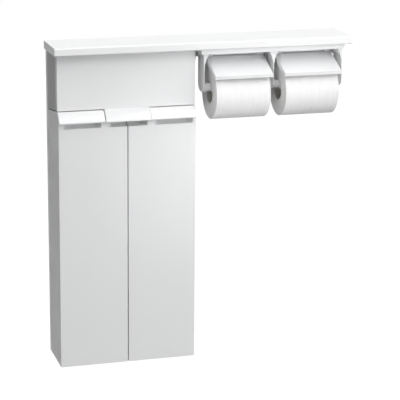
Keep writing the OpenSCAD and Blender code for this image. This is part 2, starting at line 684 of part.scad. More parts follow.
// a stub, from an arm's face at 0 along +X; the nose under its tip holds the core
module stub_shape() difference() {
    union() {
        rod_x(0, stub_l, roll_axis_y, stub_axis_z, stub_r);
        rod_x(0, stub_root_l, roll_axis_y, stub_axis_z, stub_r + stub_root);
        intersection() {
            rod_x(stub_l - stub_nose_t, stub_l, roll_axis_y, stub_axis_z, stub_r + stub_nose);
            bar(0, stub_l, roll_axis_y - stub_r / 2, roll_axis_y + stub_r / 2,
                stub_axis_z - stub_r - stub_nose, stub_axis_z);
        }
    }
    // its hollow underside
    bar(stub_wall, stub_l - stub_wall, roll_axis_y - stub_r + stub_wall, roll_axis_y + stub_r - stub_wall,
        stub_axis_z - far, stub_axis_z + stub_r - stub_wall);
}
// the stub at x that points towards s
module stub(x, s) color(white) translate([x, 0, 0]) mirror([s < 0 ? 1 : 0, 0, 0]) stub_shape();
module stub_1() stub(arm_x[0] + arm_t, 1);
module stub_2() stub(arm_x[1], -1);
module stub_3() stub(arm_x[1] + arm_t, 1);
module stub_4() stub(arm_x[2], -1);

// ---- covers ----
// a point of a cover's section: u along its slope from the rod, v square to it
function on_cover(u, v) = [
    cover_rod_y - u * cos(cover_tilt) - v * sin(cover_tilt),
    cover_rod_z - u * sin(cover_tilt) + v * cos(cover_tilt)
];
cover_crease = on_cover(cover_l, cover_v[1]);
// the front edge, turned down where the paper is torn off: its outer and its inner corner
cover_edge = [for (y = [-edge_slant, edge_t - edge_slant]) [cover_crease[0] + y, cover_crease[1] - edge_h]];
module cover_outline() polygon([
    on_cover(0, cover_v[1]), cover_crease, cover_edge[0], cover_edge[1], on_cover(cover_l, cover_v[0]),
    on_cover(0, cover_v[0])
]);
module cover_cheek_outline() polygon([
    on_cover(0, cover_v[1]), cover_crease, cover_edge[0], cover_edge[1],
    on_cover(cheek_u, cover_v[1] - cheek_h), on_cover(0, cover_v[0])
]);
// the stop behind a barrel, which meets the housing's rib from below
module cover_stop_outline() polygon([
    [cover_rod_y, cover_rod_z + cover_barrel_r],
    [cover_rod_y + stop_back - 1, arm_top - stop_gap],
    [cover_rod_y + stop_back, arm_top - stop_gap],
    [cover_rod_y + stop_back, arm_top - stop_gap - stop_h],
    [cover_rod_y + cover_barrel_r, cover_rod_z]
]);
module cover(i) color(white) difference() {
    union() {
        along_x(cover_x[i], cover_x[i] + cover_w) cover_outline();
        for (x = [cover_x[i], cover_x[i] + cover_w - cheek_t]) along_x(x, x + cheek_t) cover_cheek_outline();
        for (x = [cover_x[i], cover_x[i] + cover_w - barrel_w]) {
            rod_x(x, x + barrel_w, cover_rod_y, cover_rod_z, cover_barrel_r);
            along_x(x, x + barrel_w) cover_stop_outline();
        }
    }
    rod_x(cover_x[i] - 1, cover_x[i] + cover_w + 1, cover_rod_y, cover_rod_z, cover_rod_d / 2 + run_gap);
}
module cover_left() cover(0);
module cover_right() cover(1);
module cover_rod(x0, x1) color(steel) rod_x(x0, x1, cover_rod_y, cover_rod_z, cover_rod_d / 2);
module cover_rod_left() cover_rod(arm_x[0] + rod_inset, arm_mid - rod_part / 2);
module cover_rod_right() cover_rod(arm_mid + rod_part / 2, arm_x[2] + arm_t - rod_inset);

// ---- rolls ----
module ring(x0, x1, r_out, r_in) difference() {
    rod_x(x0, x1, roll_axis_y, roll_axis_z, r_out);
    rod_x(x0 - 1, x1 + 1, roll_axis_y, roll_axis_z, r_in);
}
module roll(i) color([0.96, 0.96, 0.95]) ring(roll_x[i], roll_x[i] + roll_w, roll_r, core_r + core_t);
module core(i) color([0.72, 0.64, 0.52])
    ring(roll_x[i] + core_inset, roll_x[i] + roll_w - core_inset, core_r + core_t, core_r);
module roll_left() roll(0);
module roll_right() roll(1);
module core_left() core(0);
module core_right() core(1);

shelf_board();
back_tray();
upper_left_side();
upper_right_side();
upper_floor();
upper_top();
corner_blocks();
flap_hinge_plates();
flap_panel();
flap_grip();
flap_pins();
flap_strike();
flap_magnet();
left_bin_front();
left_bin_tub();
left_bin_grip();
left_strike();
left_magnet();
left_hinge_rod();
right_bin_front();
right_bin_tub();
right_bin_grip();
right_strike();
right_magnet();
right_hinge_rod();
base_plate();
tilt_stop_pads();
holder_housing();
arm_left();
arm_middle();
arm_right();
stub_1();
stub_2();
stub_3();
stub_4();
cover_left();
cover_right();
cover_rod_left();
cover_rod_right();
roll_left();
roll_right();
core_left();
core_right();
shelf_screws();
arm_screws();
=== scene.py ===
# %% [markdown]
# # A toilet roll cabinet with two covered roll holders
# This lesson dresses a finished CAD model for a studio picture. The CAD model is the frame: its
# parts are loaded where they belong, and nothing here moves them. We give each part its finish,
# soften its edges, and build the pieces that CAD leaves plain: the paper rolls, their cardboard
# cores and the shelf's screws. Lengths are in metres, and MM is one millimetre.

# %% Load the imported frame
import json
import math
import random

import bpy
import bmesh
from mathutils import Matrix, Vector, noise


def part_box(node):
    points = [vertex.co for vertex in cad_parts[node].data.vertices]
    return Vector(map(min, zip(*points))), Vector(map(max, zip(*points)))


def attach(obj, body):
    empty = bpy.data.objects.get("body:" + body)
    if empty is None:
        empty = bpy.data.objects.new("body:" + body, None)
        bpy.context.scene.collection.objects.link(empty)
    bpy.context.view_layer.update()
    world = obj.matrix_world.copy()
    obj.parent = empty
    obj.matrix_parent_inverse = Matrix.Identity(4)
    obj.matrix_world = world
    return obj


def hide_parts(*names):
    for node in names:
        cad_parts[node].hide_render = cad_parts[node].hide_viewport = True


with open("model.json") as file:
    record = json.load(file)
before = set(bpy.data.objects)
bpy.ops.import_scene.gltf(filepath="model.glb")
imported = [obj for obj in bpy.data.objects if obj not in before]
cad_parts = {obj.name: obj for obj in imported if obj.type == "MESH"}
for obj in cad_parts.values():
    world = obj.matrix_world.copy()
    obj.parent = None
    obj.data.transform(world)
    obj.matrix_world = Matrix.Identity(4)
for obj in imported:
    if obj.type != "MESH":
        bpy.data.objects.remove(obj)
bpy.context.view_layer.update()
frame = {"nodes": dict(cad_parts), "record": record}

MM = 0.001
nodes = frame["nodes"]
slot_of = {part["node"]: part["material_slot"] for part in frame["record"]["subparts"]}
print("parts:", len(nodes), "finishes:", len(set(slot_of.values())))

# %% [markdown]
# ## The camera
# The picture looks slightly down on the cabinet and from its left. A camera can be aimed with a
# Track To constraint, but here its place and turn are set as numbers, because they were fitted to
# the edges in the photo. A long lens keeps the upright edges almost parallel. The object does not
# sit in the middle of the picture, and shifting the lens moves the image there without turning
# the camera, so the edges keep their slopes.

# %% Camera
camera_data = bpy.data.cameras.new("studio_camera")
camera_data.sensor_width = 36.0
camera_data.lens = 147.09
camera_data.shift_x = 0.0787
camera_data.shift_y = -0.125
camera = bpy.data.objects.new("studio_camera", camera_data)
camera.location = (-0.7592, -3.2401, 0.8555)
camera.rotation_euler = (math.radians(77.19), 0.0, math.radians(-15.14))
bpy.context.scene.collection.objects.link(camera)
bpy.context.scene.camera = camera
bpy.context.scene.view_settings.view_transform = "Standard"
print("camera distance, m:", round(camera.location.length, 2))

# %% [markdown]
# ## Wiring nodes
# Every finish here is a small network of nodes. A finish could also be an image wrapped round the
# part, but an image has to be unwrapped and blurs close up, while nodes work out the pattern at
# each point. Three helpers keep the networks short: one feeds a socket with a number or with
# another node's output, one adds a Math node, and one starts a material.

# %% Helpers that wire nodes
finishes = {}


def feed(tree, socket, value):
    """Links a socket to another node's output, or sets it to a number, vector or colour."""
    if isinstance(value, bpy.types.NodeSocket):
        tree.links.new(value, socket)
    elif socket.type == "RGBA":
        socket.default_value = (*value, 1)
    else:
        socket.default_value = value


def calculate(tree, operation, *values):
    """A Math node; each value is a number or another node's output."""
    node = tree.nodes.new("ShaderNodeMath")
    node.operation = operation
    for socket, value in zip(node.inputs, values):
        feed(tree, socket, value)
    return node.outputs[0]


def new_finish(name, constants):
    """Starts a material with these constants; returns its node tree and its shader."""
    finishes[name] = bpy.data.materials.new(name)
    finishes[name].use_nodes = True
    tree = finishes[name].node_tree
    shader = tree.nodes["Principled BSDF"]
    for socket, value in constants.items():
        feed(tree, shader.inputs[socket], value)
    return tree, shader


print("helpers ready: feed, calculate and new_finish")

# %% [markdown]
# ## Noise, shades and bumps
# Real surfaces vary: a tint drifts, a gloss wanders, a grain rises and falls. All three start from
# noise. It is read in object coordinates, not in the camera's or the world's, so it stays fixed to
# its part from every side and in every pose. Raw noise crowds round its middle value, so its
# useful range is spread out, with a smooth curve that leaves no hard borders.

# %% Helpers for noise, shades and bumps
NOISE_SPAN = (0.25, 0.75)        # nearly all of a noise lies between these


def map_range(tree, value, before, after=(0.0, 1.0), curve="LINEAR"):
    """Maps the range before to the range after, and holds what lies outside at its ends."""
    node = tree.nodes.new("ShaderNodeMapRange")
    node.interpolation_type = curve
    for socket, number in zip(("From Min", "From Max", "To Min", "To Max"), before + after):
        feed(tree, node.inputs[socket], number)
    feed(tree, node.inputs["Value"], value)
    return node.outputs["Result"]


def noise_range(tree, scale, low=0.0, high=1.0, stretch=(1, 1, 1), detail=3.0):
    """Noise with about this many patches per metre, spread between low and high."""
    place = tree.nodes.new("ShaderNodeTexCoord")
    mapping = tree.nodes.new("ShaderNodeMapping")
    feed(tree, mapping.inputs["Vector"], place.outputs["Object"])
    feed(tree, mapping.inputs["Scale"], stretch)
    grain = tree.nodes.new("ShaderNodeTexNoise")
    feed(tree, grain.inputs["Vector"], mapping.outputs["Vector"])
    feed(tree, grain.inputs["Scale"], scale)
    feed(tree, grain.inputs["Detail"], detail)
    return map_range(tree, grain.outputs["Fac"], NOISE_SPAN, (low, high), "SMOOTHSTEP")


def mix_shades(tree, factor, first, second, how="MIX"):
    """Mixes two colours by a factor; each is three numbers or another node's output."""
    mix = tree.nodes.new("ShaderNodeMix")
    mix.data_type = "RGBA"
    mix.blend_type = how
    shades = [socket for socket in mix.inputs if socket.type == "RGBA"]
    feed(tree, mix.inputs["Factor"], factor)
    feed(tree, shades[0], first)
    feed(tree, shades[1], second)
    return [socket for socket in mix.outputs if socket.type == "RGBA"][0]


def bump_from(tree, height, strength, distance, under=None):
    """A bump of that distance, laid over another bump where one is given."""
    bump = tree.nodes.new("ShaderNodeBump")
    feed(tree, bump.inputs["Height"], height)
    feed(tree, bump.inputs["Strength"], strength)
    feed(tree, bump.inputs["Distance"], distance)
    if under is not None:
        feed(tree, bump.inputs["Normal"], under)
    return bump.outputs["Normal"]


print("noise between", NOISE_SPAN, "is spread out to each finish's own range")

# %% [markdown]
# ## One recipe for the plain finishes
# Most of the cabinet is white, but not one white. Laminate, moulded plastic, paint and steel
# differ in tint, gloss and grain, and each could have a network of its own. They share one recipe
# instead: a tint that drifts a little, a roughness that wanders, and a bump of the right size. So
# only the numbers change from one finish to the next, and the whites stay related.

# %% Recipe for plain finishes
TINT_PATCHES = 9.0               # patches per metre in which the tint drifts
GLOSS_PATCHES = 30.0             # and in which the roughness wanders
GLOSS_DRIFT = 0.05
GRAIN_STRENGTH = 0.35
PEEL_PATCHES = 55.0              # slow waves per metre, in sprayed paint and thin mouldings
PEEL_STRENGTH = 0.3
COAT_ROUGHNESS = 0.12


def plain_finish(slot, tint, drift, rough, grain, depth, peel=0.0, coat=0.0, metal=0.0,
                 gloss=0.5, stretch=(1, 1, 1)):
    """drift is how far the tint wanders, grain the bumps per metre, depth and peel heights."""
    tree, shader = new_finish(slot, {"Metallic": metal, "Specular IOR Level": gloss,
                                     "Coat Weight": coat, "Coat Roughness": COAT_ROUGHNESS})
    darker = tuple(max(0.0, shade - drift) for shade in tint)
    feed(tree, shader.inputs["Base Color"],
         mix_shades(tree, noise_range(tree, TINT_PATCHES), tint, darker))
    feed(tree, shader.inputs["Roughness"],
         noise_range(tree, GLOSS_PATCHES, rough - GLOSS_DRIFT, rough + GLOSS_DRIFT, stretch))
    bumps = noise_range(tree, grain, stretch=stretch, detail=2.0)
    normal = bump_from(tree, bumps, GRAIN_STRENGTH, depth)
    if peel:
        waves = noise_range(tree, PEEL_PATCHES, detail=1.0)
        normal = bump_from(tree, waves, PEEL_STRENGTH, peel, normal)
    feed(tree, shader.inputs["Normal"], normal)


# %% [markdown]
# ## Laminated boards
# The shelf and the upper cabinet's sides are board under a white laminate, pressed with a fine
# pebble that keeps it from glaring. The pebble could be real relief, but it is less than a tenth
# of a millimetre high, and a bump gives the same look without a single extra face. The sides are
# given a greyer tint as a painted shade for their shaded left face, and they are duller than the
# shelf. The boards inside are plainer still.

# %% Board finishes
plain_finish("shelf_laminate", tint=(0.93, 0.935, 0.94), drift=0.015, rough=0.42,
             grain=900, depth=0.06 * MM)
# painted shade: the sides' grey tint darkens the cabinet's left side, which stands in shade
plain_finish("side_laminate", tint=(0.66, 0.665, 0.67), drift=0.012, rough=0.6,
             grain=900, depth=0.07 * MM, gloss=0.25)
plain_finish("inner_board", tint=(0.80, 0.805, 0.81), drift=0.02, rough=0.6,
             grain=700, depth=0.07 * MM)
print("board finishes:", len(finishes))

# %% [markdown]
# ## Moulded plastic
# The fronts, their lips, the bins' tubs, the roll holder and the covers are moulded. One white
# plastic could serve for all, but in the photo their tints and gloss differ, so each kind gets
# numbers of its own. A mould leaves a finer grain than laminate has, and a large thin moulding
# also waves very slightly, so the fronts get slow waves too. The covers are the glossiest parts
# and get a thin clear coat. Their folded front edges get a greyer finish of their own, which is a
# painted shade: those faces look forwards and get less of the light from above.

# %% Plastic finishes
plain_finish("front_plastic", tint=(0.88, 0.885, 0.89), drift=0.012, rough=0.46,
             grain=1500, depth=0.03 * MM, peel=0.04 * MM)
plain_finish("grip_plastic", tint=(0.92, 0.925, 0.93), drift=0.006, rough=0.36,
             grain=1500, depth=0.02 * MM)
plain_finish("tub_plastic", tint=(0.82, 0.83, 0.84), drift=0.02, rough=0.52,
             grain=1200, depth=0.05 * MM)
plain_finish("pale_plastic", tint=(0.78, 0.785, 0.79), drift=0.02, rough=0.5,
             grain=1600, depth=0.04 * MM)
plain_finish("holder_plastic", tint=(0.93, 0.935, 0.94), drift=0.012, rough=0.34,
             grain=1500, depth=0.03 * MM)
plain_finish("cover_plastic", tint=(0.93, 0.935, 0.94), drift=0.008, rough=0.22,
             grain=1800, depth=0.01 * MM, coat=0.3)
# painted shade: the folds' grey tint stands in for the smaller amount of light on their
# forward-facing faces
plain_finish("cover_fold_painted_shade", tint=(0.74, 0.745, 0.75), drift=0.008, rough=0.3,
             grain=1800, depth=0.01 * MM)
print("finishes so far:", len(finishes))

# %% [markdown]
# ## Coated steel, bare steel and rubber
# The tray in the wall and the base plate are coated sheet steel, and a sprayed coat dries in the
# slow waves called orange peel. Rods, pins, hinge plates and screws are bare steel. Drawing leaves
# it with streaks along its length, and most of it lies along X, so its noise is stretched along X
# instead of drawing each streak. The pads that stop the bins are dull, nearly black rubber.

# %% Steel and rubber finishes
plain_finish("tray_paint", tint=(0.88, 0.885, 0.89), drift=0.015, rough=0.38,
             grain=600, depth=0.03 * MM, peel=0.08 * MM)
plain_finish("base_steel", tint=(0.60, 0.61, 0.63), drift=0.03, rough=0.42,
             grain=600, depth=0.03 * MM, peel=0.08 * MM)
plain_finish("steel", tint=(0.62, 0.63, 0.65), drift=0.05, rough=0.3,
             grain=1400, depth=0.02 * MM, metal=1.0, stretch=(0.06, 1, 1))
plain_finish("pad_rubber", tint=(0.06, 0.06, 0.065), drift=0.02, rough=0.75,
             grain=1100, depth=0.1 * MM)
print("plain finishes:", sorted(finishes))

# %% [markdown]
# ## The rolls' axis, and rings round it
# Both rolls lie on one axis along X. Each end shows the edges of the wound layers, as rings. They
# could be modelled one by one, but a node network needs only the distance from the axis, and a
# sine of that distance gives the rings. A slow noise pushes them a little out of round. The same
# network says which faces are ends: those whose normal points along X.

# %% Rings round the rolls' axis
END_NORMAL = (0.75, 0.98)        # a face becomes an end between these values of its normal's X
RING_DRIFT_PATCHES = 26.0
RING_DRIFT = 0.35                # in radians of the rings' wave


def axis_and_radius(node):
    """The Y and Z of the middle of a round part that lies along X, and its radius."""
    low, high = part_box(node)
    return (low.y + high.y) / 2, (low.z + high.z) / 2, (high.z - low.z) / 2


roll_y, roll_z, roll_radius = axis_and_radius("roll_left")
core_radius = axis_and_radius("core_left")[2]


def rings_round_axis(tree, pitch):
    """A wave that repeats outwards from the rolls' axis, and a mask that is 1 on the ends."""
    place = tree.nodes.new("ShaderNodeTexCoord")
    split = tree.nodes.new("ShaderNodeSeparateXYZ")
    feed(tree, split.inputs[0], place.outputs["Object"])
    across = tree.nodes.new("ShaderNodeCombineXYZ")
    feed(tree, across.inputs[0], calculate(tree, "SUBTRACT", split.outputs["Y"], roll_y))
    feed(tree, across.inputs[1], calculate(tree, "SUBTRACT", split.outputs["Z"], roll_z))
    distance = tree.nodes.new("ShaderNodeVectorMath")
    distance.operation = "LENGTH"
    feed(tree, distance.inputs[0], across.outputs[0])
    drift = noise_range(tree, RING_DRIFT_PATCHES, -RING_DRIFT, RING_DRIFT)
    phase = calculate(tree, "MULTIPLY_ADD", distance.outputs["Value"], math.tau / pitch, drift)
    facing = tree.nodes.new("ShaderNodeSeparateXYZ")
    feed(tree, facing.inputs[0], place.outputs["Normal"])
    on_ends = map_range(tree, calculate(tree, "ABSOLUTE", facing.outputs["X"]), END_NORMAL)
    return calculate(tree, "SINE", phase), on_ends


print("roll and core radius, mm:", round(roll_radius / MM, 1), round(core_radius / MM, 1))

# %% [markdown]
# ## Tissue paper
# Plain matt white would do for a roll far away, but close up it looks like plaster. Tissue is
# slightly furry, so it gets sheen, and light soaks some way into the wound layers, so it gets
# subsurface scattering. Its outside has fine fibres, drawn as a bump, and its ends have the rings:
# the gaps between layers are a little lower, and a painted shade makes them a little darker.

# %% Tissue finish
PAPER_SHADES = ((0.955, 0.955, 0.95), (0.925, 0.925, 0.92))
# painted shade: darkens the paper's colour in the gaps between layers, where shade falls
GAP_PAINTED_SHADE = (0.93, 0.93, 0.925)  # multiplies the paper's shade between two layers
LAYER_PITCH = 1.1 * MM           # wider than one sheet, so that the rings show
PAPER_PATCHES = 40.0             # per metre, as are the next two
PAPER_ROUGH_PATCHES = 60.0
FIBRES = 700.0
PAPER_ROUGH = (0.86, 0.96)
FIBRE_HEIGHT, FIBRE_STRENGTH = 0.12 * MM, 0.5
LAYER_HEIGHT, LAYER_STRENGTH = 0.2 * MM, 0.6
SOAK_DEPTH = 10 * MM


def paper_finish():
    tree, shader = new_finish("roll_paper", {
        "Sheen Weight": 0.25, "Sheen Roughness": 0.6, "Specular IOR Level": 0.15,
        "Subsurface Weight": 0.5, "Subsurface Radius": (1, 1, 1), "Subsurface Scale": SOAK_DEPTH})
    wave, on_ends = rings_round_axis(tree, LAYER_PITCH)
    rings = calculate(tree, "MULTIPLY", wave, on_ends)
    gaps = map_range(tree, rings, (-1.0, 1.0), (1.0, 0.0))
    paper = mix_shades(tree, noise_range(tree, PAPER_PATCHES, stretch=(3, 1, 1)), *PAPER_SHADES)
    # painted shade: the paper is darker in the gaps between layers
    feed(tree, shader.inputs["Base Color"],
         mix_shades(tree, calculate(tree, "MULTIPLY", gaps, on_ends), paper, GAP_PAINTED_SHADE, "MULTIPLY"))
    feed(tree, shader.inputs["Roughness"],
         noise_range(tree, PAPER_ROUGH_PATCHES, *PAPER_ROUGH))
    fibres = noise_range(tree, FIBRES, stretch=(1, 0.5, 0.5))
    normal = bump_from(tree, fibres, FIBRE_STRENGTH, FIBRE_HEIGHT)
    feed(tree, shader.inputs["Normal"],
         bump_from(tree, rings, LAYER_STRENGTH, LAYER_HEIGHT, normal))


paper_finish()
print("layers drawn on an end:", round((roll_radius - core_radius) / LAYER_PITCH))

# %% [markdown]
# ## Cardboard
# The cores are grey-brown cardboard. Its colour is mottled, because it is pulped from mixed waste
# paper. A photo of cardboard would show that too, but the core is seen small and in shade, and a
# noise with more detail than the other finishes is enough. It is squeezed along X, so its flecks
# are short that way and long round the tube, as in a strip that was wound round it.

# %% Cardboard finish
BOARD_SHADES = ((0.56, 0.54, 0.505), (0.43, 0.41, 0.38))
BOARD_FLECKS = 160.0             # per metre, as are the next two
BOARD_ROUGH_PATCHES = 90.0
BOARD_GRAIN = 800.0
BOARD_ROUGH = (0.78, 0.92)
GRAIN_HEIGHT, BOARD_STRENGTH = 0.1 * MM, 0.5


def cardboard_finish():
    tree, shader = new_finish("core_cardboard", {"Specular IOR Level": 0.25})
    flecks = noise_range(tree, BOARD_FLECKS, stretch=(4, 1, 1), detail=5.0)
    feed(tree, shader.inputs["Base Color"], mix_shades(tree, flecks, *BOARD_SHADES))
    feed(tree, shader.inputs["Roughness"],
         noise_range(tree, BOARD_ROUGH_PATCHES, *BOARD_ROUGH))
    grain = noise_range(tree, BOARD_GRAIN, stretch=(3, 1, 1))
    feed(tree, shader.inputs["Normal"], bump_from(tree, grain, BOARD_STRENGTH, GRAIN_HEIGHT))


cardboard_finish()
print("all finishes:", len(finishes))

# %% [markdown]
# ## Softened edges on the CAD parts
# No real edge is perfectly sharp: laminate has a small radius, a moulding a larger one, and these
# edges catch the light. They could be modelled, but the CAD meshes must keep their shape. So the
# rounding is left to modifiers, and smooth shading is only a flag on each face. The loaded meshes
# come apart along their sharp edges, so a Weld modifier closes them first, and a Bevel modifier
# then rounds them. A Weighted Normal modifier keeps the large faces evenly shaded up to their
# edges. The folded steel tray stays crisp.

# %% Give each CAD part its finish and its edge
EDGE_MM = {"shelf_laminate": 0.8, "side_laminate": 0.8, "inner_board": 0.4, "base_steel": 0.4,
           "pale_plastic": 0.6, "front_plastic": 0.9, "grip_plastic": 0.5, "tub_plastic": 0.5,
           "holder_plastic": 0.7, "cover_plastic": 0.4, "pad_rubber": 0.4, "steel": 0.25}
SEAM_GAP = 0.01 * MM
SHARP_ANGLE = math.radians(32)
LARGE_FACE_WEIGHT = 95


def round_edges(part, radius):
    part.data.polygons.foreach_set("use_smooth", [True] * len(part.data.polygons))
    weld = part.modifiers.new("close_seams", "WELD")
    weld.merge_threshold = SEAM_GAP
    bevel = part.modifiers.new("round_edges", "BEVEL")
    bevel.width = radius
    bevel.segments = 2
    bevel.limit_method = "ANGLE"
    bevel.angle_limit = SHARP_ANGLE
    flat = part.modifiers.new("flat_faces", "WEIGHTED_NORMAL")
    flat.mode = "FACE_AREA_WITH_ANGLE"
    flat.weight = LARGE_FACE_WEIGHT
    flat.keep_sharp = True


for name, part in nodes.items():
    slot = slot_of[name]
    part.data.materials.clear()
    part.data.materials.append(finishes[slot])
    if slot in EDGE_MM:
        round_edges(part, EDGE_MM[slot] * MM)
print("parts with rounded edges:", sum(slot in EDGE_MM for slot in slot_of.values()))

# %% [markdown]
# ## The covers' folded edge, in painted shade
# Each cover ends in a narrow edge that is folded down. That edge is given a greyer finish as a
# painted shade, for the smaller amount of light that reaches its forward-facing faces. A strip laid
# over it would need a place of its own, and could come away as the cover lifts. A second material
# is
# simpler: the faces at the cover's front that look forwards get material index 1, and the mesh's
# points stay where they are.

# %% Paint shade on the folds
FOLD_DEPTH = 6 * MM              # the fold lies this close to the cover's front
LOOKS_FORWARDS = -0.7            # Y of a normal, since the front is at -Y


def paint_fold_shade(cover):
    """Gives a cover's folded edge its painted-shade finish, and says how many faces that took."""
    low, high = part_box(cover.name)
    cover.data.materials.append(finishes["cover_fold_painted_shade"])
    folded = [face for face in cover.data.polygons
              if face.normal.y < LOOKS_FORWARDS and face.center.y < low.y + FOLD_DEPTH]
    for face in folded:
        face.material_index = 1
    return len(folded)


for side in ("left", "right"):
    print("cover", side, "faces on its fold:", paint_fold_shade(nodes["cover_" + side]))

# %% [markdown]
# ## Shapes swept round the axis
# A roll and its core are round but not perfect, and both are closed rings: a profile that comes
# back to its start, swept once round the axis. Blender's Screw modifier sweeps a profile too, but
# it makes every turn alike. Here a function places each point, so the sweep can carry creases, a
# free end or a groove. Angles run from straight up towards the front.

# %% Helpers for swept shapes and new pieces
def round_axis(x, radius, angle):
    """A point at this radius and angle from the rolls' axis."""
    return (x, roll_y - radius * math.sin(angle), roll_z + radius * math.cos(angle))


def finished_mesh(name, made):
    """Turns a bmesh into a mesh whose faces all look outwards."""
    bmesh.ops.recalc_face_normals(made, faces=made.faces)
    mesh = bpy.data.meshes.new(name)
    made.to_mesh(mesh)
    made.free()
    return mesh


def swept_ring(name, profile, angles, point_at):
    """point_at(station, angle) gives each point; the mesh closes along both ways round."""
    made = bmesh.new()
    rings = [[made.verts.new(point_at(station, angle)) for angle in angles]
             for station in profile]
    for ring, following in zip(rings, rings[1:] + rings[:1]):
        for i in range(len(angles)):
            j = (i + 1) % len(angles)
            made.faces.new((ring[i], ring[j], following[j], following[i]))
    mesh = finished_mesh(name, made)
    mesh.polygons.foreach_set("use_smooth", [True] * len(mesh.polygons))
    return mesh


def add_piece(name, mesh, body, slot, *stands_for):
    """Makes an object of a mesh, puts it on its body and hides the CAD parts it stands for."""
    piece = bpy.data.objects.new(name, mesh)
    bpy.context.scene.collection.objects.link(piece)
    mesh.materials.append(finishes[slot])
    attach(piece, body)
    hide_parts(*stands_for)
    return piece


print("rolls' axis at y and z, mm:", round(roll_y / MM, 1), round(roll_z / MM, 1))

# %% [markdown]
# ## A roll's profile
# The profile runs from the core out over one end, round a soft edge, along the outside, back over
# the other end and home through the bore. A rectangle could be swept instead, but it would look
# like a hard drum. A roll is soft, so its layers have slid a little at the ends, each by its own
# amount, and least near the edge. The stations along the outside lie close together, because the
# creases need them.

# %% Profile of a roll
SOFT_EDGE = 1.1 * MM
END_STATIONS = 12
EDGE_STATIONS = 6
SHEET_STATIONS = 130
BORE_STATIONS = 8
END_SLIDE = 0.35 * MM            # the furthest that a layer has slid
SLIDE_FADE = 1.1                 # above 1, so that slides fade out before the soft edge
RIGHT_END_SHARE = 0.9            # the right end is a little flatter than the left one


def roll_profile(x0, x1, r_in, r_out, rng):
    """Stations: x, radius, and how much of the outer sheet's form the station takes."""
    end = []
    for i in range(END_STATIONS + 1):
        t = i / END_STATIONS
        slide = rng.uniform(0.0, END_SLIDE) * math.sin(math.pi * min(1, t * SLIDE_FADE))
        end.append((slide, r_in + t * (r_out - SOFT_EDGE - r_in), 0.0))
    for i in range(1, EDGE_STATIONS):
        a = math.pi / 2 * i / EDGE_STATIONS
        end.append((SOFT_EDGE * (1 - math.cos(a)), r_out - SOFT_EDGE * (1 - math.sin(a)),
                    i / EDGE_STATIONS))
    straight = x1 - x0 - 2 * SOFT_EDGE
    left = [(x0 + inwards, r, sheet) for inwards, r, sheet in end]
    outside = [(x0 + SOFT_EDGE + straight * i / SHEET_STATIONS, r_out, 1.0)
               for i in range(SHEET_STATIONS + 1)]
    right = [(x1 - inwards * RIGHT_END_SHARE, r, sheet) for inwards, r, sheet in reversed(end)]
    bore = [(x1 - (x1 - x0) * i / BORE_STATIONS, r_in, 0.0) for i in range(1, BORE_STATIONS)]
    return left + outside + right + bore


low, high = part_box("roll_left")
print("mm between stations outside:", round((high.x - low.x) / MM / SHEET_STATIONS, 2))

# %% [markdown]
# ## Creases in the outer sheet
# Winding and packing leave faint creases that run part of the way round a roll. A bump could hint
# at them, but the roll's outline would stay perfectly smooth, so they are real dents. Each has a
# bell shape both across and along, which is what the exponential gives, so it fades out gently.

# %% Draw and measure creases
CREASES = 34
CREASE_WIDTH = (0.8 * MM, 1.7 * MM)
CREASE_DEPTH = (-0.24 * MM, -0.04 * MM)
CREASE_MIDDLE = (math.radians(70), math.radians(150))
CREASE_SPREAD = (0.35, 0.9)      # radians to each side of its middle
CREASE_REACH = 3                 # widths, past which a crease is too shallow to matter


def draw_creases(x0, x1, rng):
    """Each crease: its place, width and depth, and the middle and spread of its arc."""
    return [(rng.uniform(x0, x1), rng.uniform(*CREASE_WIDTH), rng.uniform(*CREASE_DEPTH),
             rng.uniform(*CREASE_MIDDLE), rng.uniform(*CREASE_SPREAD))
            for _ in range(CREASES)]


def dent_at(creases, x, angle):
    """How far all creases together move the sheet at a point; below zero is inwards."""
    dent = 0.0
    for place, width, depth, middle, spread in creases:
        away = abs(x - place) / width
        if away < CREASE_REACH:
            turn = (angle - middle + math.pi) % math.tau - math.pi
            dent += depth * math.exp(-away * away - (turn / spread) ** 2)
    return dent


one_crease = [(0.0, CREASE_WIDTH[0], CREASE_DEPTH[0], 0.0, 1.0)]
print("deepest dent of one crease, mm:", round(dent_at(one_crease, 0.0, 0.0) / MM, 2))

# %% [markdown]
# ## The paper rolls
# The outer sheet winds like a spiral, so its free end makes one small step, which sits low at the
# back. A strip laid on a plain tube could show the step, but its other end would show as well. So
# the radius grows by that step over one whole turn, and an extra column of points just past the
# step keeps it crisp. The ends ripple slightly, by a noise that differs between the two rolls.
# Random numbers have a seed, so the rolls come out the same every time.

# %% Make the two rolls
TAIL_ANGLE = math.radians(-128)
TAIL_STEP = 0.45 * MM
TAIL_WIDTH = 0.002               # radians from the step to the extra column
ROLL_COLUMNS = 168
RIPPLE = 0.12 * MM
RIPPLES_OUTWARDS = 300           # noise patches per metre of radius
RIPPLES_ROUND = 2


def paper_roll(side, seed):
    rng = random.Random(seed)
    low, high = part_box("roll_" + side)
    profile = roll_profile(low.x, high.x, core_radius, roll_radius, rng)
    creases = draw_creases(low.x, high.x, rng)
    columns = [math.tau * i / ROLL_COLUMNS for i in range(ROLL_COLUMNS)]
    angles = sorted(columns + [(TAIL_ANGLE + TAIL_WIDTH) % math.tau])

    def point_at(station, angle):
        x, r, sheet = station
        wound = ((angle - TAIL_ANGLE) % math.tau) / math.tau
        r -= sheet * TAIL_STEP * (1 - wound)
        if sheet:
            r += sheet * dent_at(creases, x, angle)
        else:
            x += RIPPLE * noise.noise(Vector((r * RIPPLES_OUTWARDS,
                                              math.cos(angle) * RIPPLES_ROUND,
                                              math.sin(angle) * RIPPLES_ROUND + seed)))
        return round_axis(x, r, angle)

    mesh = swept_ring("paper_roll_" + side, profile, angles, point_at)
    return add_piece("paper_roll_" + side, mesh, side + "_roll", "roll_paper", "roll_" + side)


